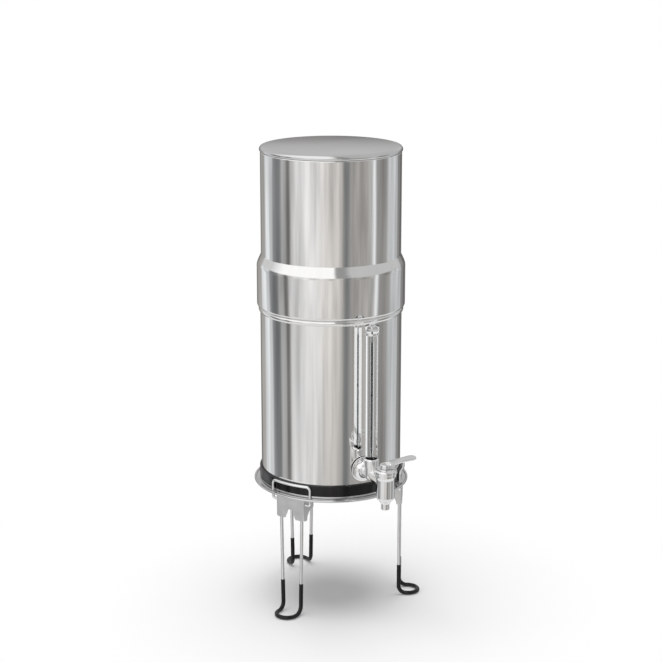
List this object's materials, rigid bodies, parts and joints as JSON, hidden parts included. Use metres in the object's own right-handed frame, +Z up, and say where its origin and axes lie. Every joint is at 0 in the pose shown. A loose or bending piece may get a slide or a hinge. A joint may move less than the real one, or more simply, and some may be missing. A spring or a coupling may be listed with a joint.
{
  "type": "gravity water filter with tap",
  "caption": "Two stacked steel chambers on a tripod wire stand, with filter candles inside, a quarter-turn tap and a sight gauge.",
  "frame": {"origin": "on the axis of the two chambers, at the level of the floor under the feet", "axes": "+Z up along the chambers' axis, -Y towards the tap, +X to the right when the tap faces the viewer"},
  "size_m": [0.2342, 0.3172, 0.6686],
  "materials": {
    "chamber_steel": "polished stainless steel sheet, finely drawn along the cylinder",
    "lid_steel": "satin stainless steel sheet",
    "satin_steel": "satin stainless steel plate",
    "bracket_steel": "matt folded steel sheet",
    "wire_steel": "bright drawn steel wire",
    "tap_chrome": "polished cast steel",
    "foot_coating": "glossy black dipped coating",
    "ring_rubber": "glossy black rubber",
    "black_rubber": "black rubber",
    "carbon": "pressed carbon block",
    "black_plastic": "black moulded plastic",
    "white_plastic": "white moulded nylon",
    "ceramic": "lapped white ceramic",
    "float_black": "black plastic float",
    "clear_tube": "clear acrylic"
  },
  "bodies": {
    "stand": {"support_plate": "satin_steel", "base_ring": "ring_rubber", "bracket_left": "bracket_steel", "leg_wire_left": "wire_steel", "foot_sleeve_left": "foot_coating", "hoop_left": "wire_steel", "bracket_right": "bracket_steel", "leg_wire_right": "wire_steel", "foot_sleeve_right": "foot_coating", "hoop_right": "wire_steel", "bracket_rear": "bracket_steel", "leg_wire_rear": "wire_steel", "foot_sleeve_rear": "foot_coating", "hoop_rear": "wire_steel"},
    "lower_container": {"lower_chamber": "chamber_steel", "tap_body": "tap_chrome", "tap_escutcheon": "tap_chrome", "tap_outer_washer": "black_rubber", "tap_inner_washer": "black_rubber", "tap_lock_nut": "wire_steel", "tap_bonnet": "tap_chrome", "tap_fixed_disc": "ceramic", "tap_seat": "black_rubber", "gauge_gland_nut": "tap_chrome", "gauge_seal": "black_rubber", "gauge_tube": "clear_tube", "gauge_cap_ring": "tap_chrome", "gauge_cap": "clear_tube"},
    "upper_container": {"upper_chamber": "chamber_steel", "filter_candles": "carbon", "candle_bases": "black_plastic", "candle_seals": "black_rubber", "candle_wing_nuts": "white_plastic"},
    "cover": {"lid": "lid_steel"},
    "tap_handle": {"tap_lever": "tap_chrome", "lever_screw": "wire_steel", "tap_stem": "wire_steel", "tap_stem_seals": "black_rubber", "tap_turning_disc": "ceramic"},
    "float": {"gauge_float": "float_black"}
  },
  "joints": [
    {"name": "lower_lift", "type": "slide", "parent": "stand", "child": "lower_container", "axis": [0, 0, 1], "range_m": [0, 0.06]},
    {"name": "upper_lift", "type": "slide", "parent": "lower_container", "child": "upper_container", "axis": [0, 0, 1], "range_m": [0, 0.08]},
    {"name": "lid_lift", "type": "slide", "parent": "upper_container", "child": "cover", "axis": [0, 0, 1], "range_m": [0, 0.05]},
    {"name": "lever_turn", "type": "hinge", "parent": "lower_container", "child": "tap_handle", "pos_m": [0, -0.1686, 0.2218], "axis": [0, 0, 1], "range_deg": [-90, 0]},
    {"name": "float_rise", "type": "slide", "parent": "lower_container", "child": "float", "axis": [0, 0, 1], "range_m": [-0.07, 0.065]}
  ]
}
